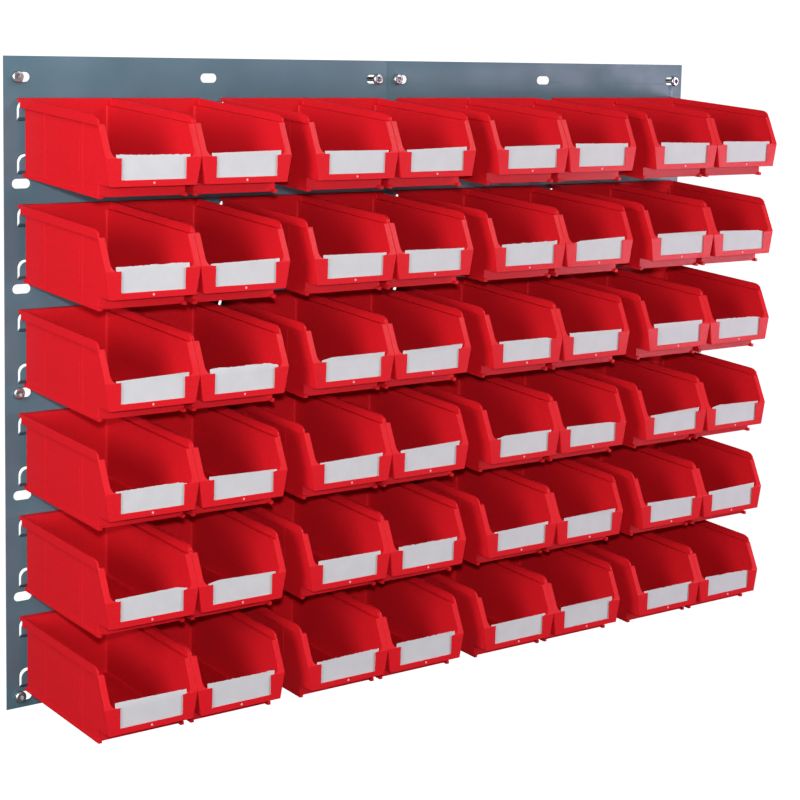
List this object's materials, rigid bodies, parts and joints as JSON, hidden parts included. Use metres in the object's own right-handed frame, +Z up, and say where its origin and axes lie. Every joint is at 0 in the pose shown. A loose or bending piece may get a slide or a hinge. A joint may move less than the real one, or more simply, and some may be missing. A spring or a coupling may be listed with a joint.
{
  "type": "hanging parts bin wall set",
  "caption": "Wall-mounted louvred steel panels with rows of open-fronted plastic parts bins, each hooked on a louvre and lifted off to unhook.",
  "frame": {"origin": "on the wall plane, where the seam between the two panels meets mid-height", "axes": "+X along the wall to the right as seen from the front, +Y into the wall, +Z up; the bins face -Y"},
  "size_m": [0.914, 0.1965, 0.641],
  "materials": {
    "bin_red": "moulded red polypropylene, semi-gloss",
    "panel_grey": "blue-grey powder coat, satin",
    "screw_steel": "zinc-plated steel",
    "label_card": "plain white card"
  },
  "bodies": {
    "panels": {"panel_left": "panel_grey", "panel_right": "panel_grey", "screw_left_outer_top": "screw_steel", "screw_left_outer_middle": "screw_steel", "screw_left_outer_bottom": "screw_steel", "screw_left_seam_top": "screw_steel", "screw_left_seam_bottom": "screw_steel", "screw_right_outer_top": "screw_steel", "screw_right_outer_middle": "screw_steel", "screw_right_outer_bottom": "screw_steel", "screw_right_seam_top": "screw_steel", "screw_right_seam_bottom": "screw_steel"},
    "bin_r1c1": {"bin_r1c1": "bin_red"},
    "bin_r1c2": {"bin_r1c2": "bin_red"},
    "bin_r1c3": {"bin_r1c3": "bin_red"},
    "bin_r1c4": {"bin_r1c4": "bin_red"},
    "bin_r1c5": {"bin_r1c5": "bin_red"},
    "bin_r1c6": {"bin_r1c6": "bin_red"},
    "bin_r1c7": {"bin_r1c7": "bin_red"},
    "bin_r1c8": {"bin_r1c8": "bin_red"},
    "bin_r2c1": {"bin_r2c1": "bin_red"},
    "bin_r2c2": {"bin_r2c2": "bin_red"},
    "bin_r2c3": {"bin_r2c3": "bin_red"},
    "bin_r2c4": {"bin_r2c4": "bin_red"},
    "bin_r2c5": {"bin_r2c5": "bin_red"},
    "bin_r2c6": {"bin_r2c6": "bin_red"},
    "bin_r2c7": {"bin_r2c7": "bin_red"},
    "bin_r2c8": {"bin_r2c8": "bin_red"},
    "bin_r3c1": {"bin_r3c1": "bin_red"},
    "bin_r3c2": {"bin_r3c2": "bin_red"},
    "bin_r3c3": {"bin_r3c3": "bin_red"},
    "bin_r3c4": {"bin_r3c4": "bin_red"},
    "bin_r3c5": {"bin_r3c5": "bin_red"},
    "bin_r3c6": {"bin_r3c6": "bin_red"},
    "bin_r3c7": {"bin_r3c7": "bin_red"},
    "bin_r3c8": {"bin_r3c8": "bin_red"},
    "bin_r4c1": {"bin_r4c1": "bin_red"},
    "bin_r4c2": {"bin_r4c2": "bin_red"},
    "bin_r4c3": {"bin_r4c3": "bin_red"},
    "bin_r4c4": {"bin_r4c4": "bin_red"},
    "bin_r4c5": {"bin_r4c5": "bin_red"},
    "bin_r4c6": {"bin_r4c6": "bin_red"},
    "bin_r4c7": {"bin_r4c7": "bin_red"},
    "bin_r4c8": {"bin_r4c8": "bin_red"},
    "bin_r5c1": {"bin_r5c1": "bin_red"},
    "bin_r5c2": {"bin_r5c2": "bin_red"},
    "bin_r5c3": {"bin_r5c3": "bin_red"},
    "bin_r5c4": {"bin_r5c4": "bin_red"},
    "bin_r5c5": {"bin_r5c5": "bin_red"},
    "bin_r5c6": {"bin_r5c6": "bin_red"},
    "bin_r5c7": {"bin_r5c7": "bin_red"},
    "bin_r5c8": {"bin_r5c8": "bin_red"},
    "bin_r6c1": {"bin_r6c1": "bin_red"},
    "bin_r6c2": {"bin_r6c2": "bin_red"},
    "bin_r6c3": {"bin_r6c3": "bin_red"},
    "bin_r6c4": {"bin_r6c4": "bin_red"},
    "bin_r6c5": {"bin_r6c5": "bin_red"},
    "bin_r6c6": {"bin_r6c6": "bin_red"},
    "bin_r6c7": {"bin_r6c7": "bin_red"},
    "bin_r6c8": {"bin_r6c8": "bin_red"}
  },
  "joints": [
    {"name": "lift_r1c1", "type": "slide", "parent": "panels", "child": "bin_r1c1", "axis": [0, 0, 1], "range_m": [0, 0.012]},
    {"name": "lift_r1c2", "type": "slide", "parent": "panels", "child": "bin_r1c2", "axis": [0, 0, 1], "range_m": [0, 0.012]},
    {"name": "lift_r1c3", "type": "slide", "parent": "panels", "child": "bin_r1c3", "axis": [0, 0, 1], "range_m": [0, 0.012]},
    {"name": "lift_r1c4", "type": "slide", "parent": "panels", "child": "bin_r1c4", "axis": [0, 0, 1], "range_m": [0, 0.012]},
    {"name": "lift_r1c5", "type": "slide", "parent": "panels", "child": "bin_r1c5", "axis": [0, 0, 1], "range_m": [0, 0.012]},
    {"name": "lift_r1c6", "type": "slide", "parent": "panels", "child": "bin_r1c6", "axis": [0, 0, 1], "range_m": [0, 0.012]},
    {"name": "lift_r1c7", "type": "slide", "parent": "panels", "child": "bin_r1c7", "axis": [0, 0, 1], "range_m": [0, 0.012]},
    {"name": "lift_r1c8", "type": "slide", "parent": "panels", "child": "bin_r1c8", "axis": [0, 0, 1], "range_m": [0, 0.012]},
    {"name": "lift_r2c1", "type": "slide", "parent": "panels", "child": "bin_r2c1", "axis": [0, 0, 1], "range_m": [0, 0.012]},
    {"name": "lift_r2c2", "type": "slide", "parent": "panels", "child": "bin_r2c2", "axis": [0, 0, 1], "range_m": [0, 0.012]},
    {"name": "lift_r2c3", "type": "slide", "parent": "panels", "child": "bin_r2c3", "axis": [0, 0, 1], "range_m": [0, 0.012]},
    {"name": "lift_r2c4", "type": "slide", "parent": "panels", "child": "bin_r2c4", "axis": [0, 0, 1], "range_m": [0, 0.012]},
    {"name": "lift_r2c5", "type": "slide", "parent": "panels", "child": "bin_r2c5", "axis": [0, 0, 1], "range_m": [0, 0.012]},
    {"name": "lift_r2c6", "type": "slide", "parent": "panels", "child": "bin_r2c6", "axis": [0, 0, 1], "range_m": [0, 0.012]},
    {"name": "lift_r2c7", "type": "slide", "parent": "panels", "child": "bin_r2c7", "axis": [0, 0, 1], "range_m": [0, 0.012]},
    {"name": "lift_r2c8", "type": "slide", "parent": "panels", "child": "bin_r2c8", "axis": [0, 0, 1], "range_m": [0, 0.012]},
    {"name": "lift_r3c1", "type": "slide", "parent": "panels", "child": "bin_r3c1", "axis": [0, 0, 1], "range_m": [0, 0.012]},
    {"name": "lift_r3c2", "type": "slide", "parent": "panels", "child": "bin_r3c2", "axis": [0, 0, 1], "range_m": [0, 0.012]},
    {"name": "lift_r3c3", "type": "slide", "parent": "panels", "child": "bin_r3c3", "axis": [0, 0, 1], "range_m": [0, 0.012]},
    {"name": "lift_r3c4", "type": "slide", "parent": "panels", "child": "bin_r3c4", "axis": [0, 0, 1], "range_m": [0, 0.012]},
    {"name": "lift_r3c5", "type": "slide", "parent": "panels", "child": "bin_r3c5", "axis": [0, 0, 1], "range_m": [0, 0.012]},
    {"name": "lift_r3c6", "type": "slide", "parent": "panels", "child": "bin_r3c6", "axis": [0, 0, 1], "range_m": [0, 0.012]},
    {"name": "lift_r3c7", "type": "slide", "parent": "panels", "child": "bin_r3c7", "axis": [0, 0, 1], "range_m": [0, 0.012]},
    {"name": "lift_r3c8", "type": "slide", "parent": "panels", "child": "bin_r3c8", "axis": [0, 0, 1], "range_m": [0, 0.012]},
    {"name": "lift_r4c1", "type": "slide", "parent": "panels", "child": "bin_r4c1", "axis": [0, 0, 1], "range_m": [0, 0.012]},
    {"name": "lift_r4c2", "type": "slide", "parent": "panels", "child": "bin_r4c2", "axis": [0, 0, 1], "range_m": [0, 0.012]},
    {"name": "lift_r4c3", "type": "slide", "parent": "panels", "child": "bin_r4c3", "axis": [0, 0, 1], "range_m": [0, 0.012]},
    {"name": "lift_r4c4", "type": "slide", "parent": "panels", "child": "bin_r4c4", "axis": [0, 0, 1], "range_m": [0, 0.012]},
    {"name": "lift_r4c5", "type": "slide", "parent": "panels", "child": "bin_r4c5", "axis": [0, 0, 1], "range_m": [0, 0.012]},
    {"name": "lift_r4c6", "type": "slide", "parent": "panels", "child": "bin_r4c6", "axis": [0, 0, 1], "range_m": [0, 0.012]},
    {"name": "lift_r4c7", "type": "slide", "parent": "panels", "child": "bin_r4c7", "axis": [0, 0, 1], "range_m": [0, 0.012]},
    {"name": "lift_r4c8", "type": "slide", "parent": "panels", "child": "bin_r4c8", "axis": [0, 0, 1], "range_m": [0, 0.012]},
    {"name": "lift_r5c1", "type": "slide", "parent": "panels", "child": "bin_r5c1", "axis": [0, 0, 1], "range_m": [0, 0.012]},
    {"name": "lift_r5c2", "type": "slide", "parent": "panels", "child": "bin_r5c2", "axis": [0, 0, 1], "range_m": [0, 0.012]},
    {"name": "lift_r5c3", "type": "slide", "parent": "panels", "child": "bin_r5c3", "axis": [0, 0, 1], "range_m": [0, 0.012]},
    {"name": "lift_r5c4", "type": "slide", "parent": "panels", "child": "bin_r5c4", "axis": [0, 0, 1], "range_m": [0, 0.012]},
    {"name": "lift_r5c5", "type": "slide", "parent": "panels", "child": "bin_r5c5", "axis": [0, 0, 1], "range_m": [0, 0.012]},
    {"name": "lift_r5c6", "type": "slide", "parent": "panels", "child": "bin_r5c6", "axis": [0, 0, 1], "range_m": [0, 0.012]},
    {"name": "lift_r5c7", "type": "slide", "parent": "panels", "child": "bin_r5c7", "axis": [0, 0, 1], "range_m": [0, 0.012]},
    {"name": "lift_r5c8", "type": "slide", "parent": "panels", "child": "bin_r5c8", "axis": [0, 0, 1], "range_m": [0, 0.012]},
    {"name": "lift_r6c1", "type": "slide", "parent": "panels", "child": "bin_r6c1", "axis": [0, 0, 1], "range_m": [0, 0.012]},
    {"name": "lift_r6c2", "type": "slide", "parent": "panels", "child": "bin_r6c2", "axis": [0, 0, 1], "range_m": [0, 0.012]},
    {"name": "lift_r6c3", "type": "slide", "parent": "panels", "child": "bin_r6c3", "axis": [0, 0, 1], "range_m": [0, 0.012]},
    {"name": "lift_r6c4", "type": "slide", "parent": "panels", "child": "bin_r6c4", "axis": [0, 0, 1], "range_m": [0, 0.012]},
    {"name": "lift_r6c5", "type": "slide", "parent": "panels", "child": "bin_r6c5", "axis": [0, 0, 1], "range_m": [0, 0.012]},
    {"name": "lift_r6c6", "type": "slide", "parent": "panels", "child": "bin_r6c6", "axis": [0, 0, 1], "range_m": [0, 0.012]},
    {"name": "lift_r6c7", "type": "slide", "parent": "panels", "child": "bin_r6c7", "axis": [0, 0, 1], "range_m": [0, 0.012]},
    {"name": "lift_r6c8", "type": "slide", "parent": "panels", "child": "bin_r6c8", "axis": [0, 0, 1], "range_m": [0, 0.012]}
  ]
}
